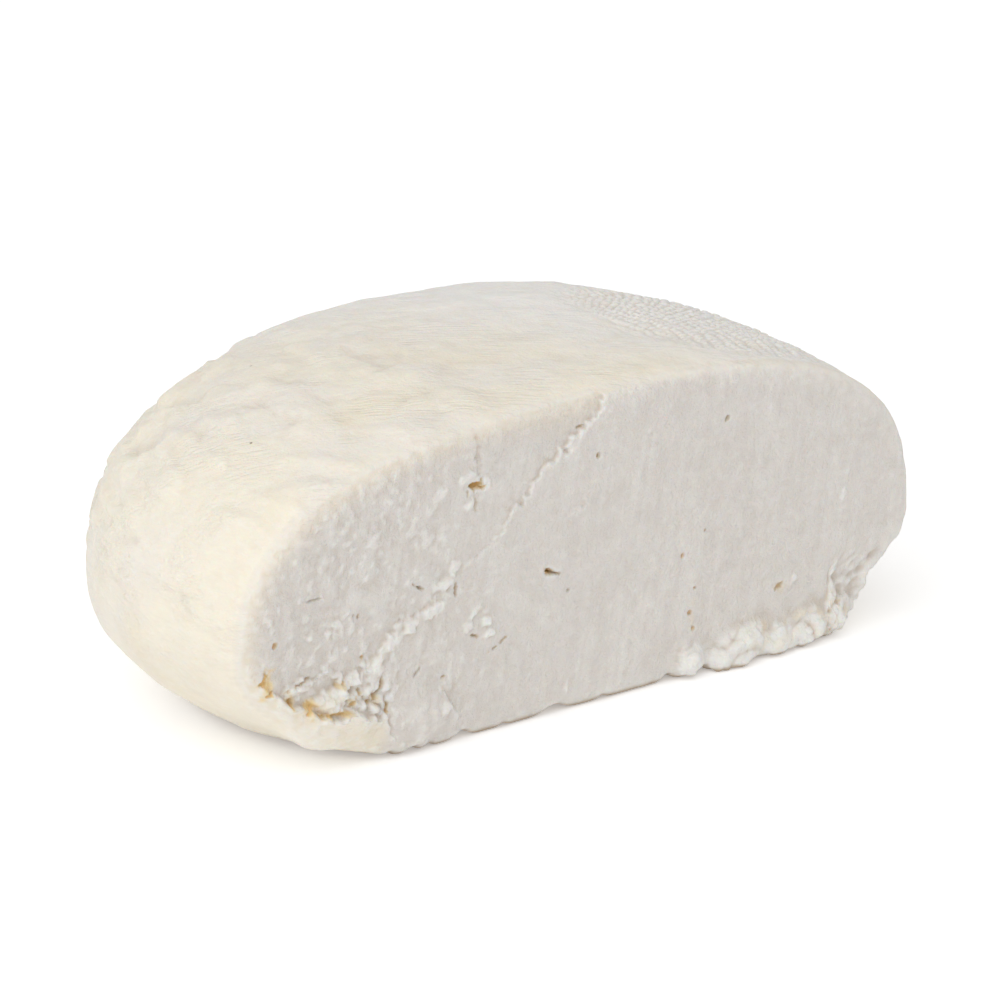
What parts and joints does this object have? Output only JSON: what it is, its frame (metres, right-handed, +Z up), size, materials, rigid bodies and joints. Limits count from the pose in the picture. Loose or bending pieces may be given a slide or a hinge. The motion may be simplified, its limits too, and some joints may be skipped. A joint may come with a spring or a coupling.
{
  "type": "cheese wheel",
  "caption": "Part-cut round wheel of fresh white cheese, with one flat cut face, a torn lip and loose curds along the cut's lower edge.",
  "frame": {"origin": "on the table, under the middle of the bounding box", "axes": "+Z up, +X along the knife cut, -Y out of the cut face"},
  "size_m": [0.1828, 0.1252, 0.0675],
  "materials": {
    "fresh_cheese": "soft satin, slightly moist fresh cheese"
  },
  "bodies": {
    "root": {"cheese_wheel": "fresh_cheese"}
  },
  "joints": []
}
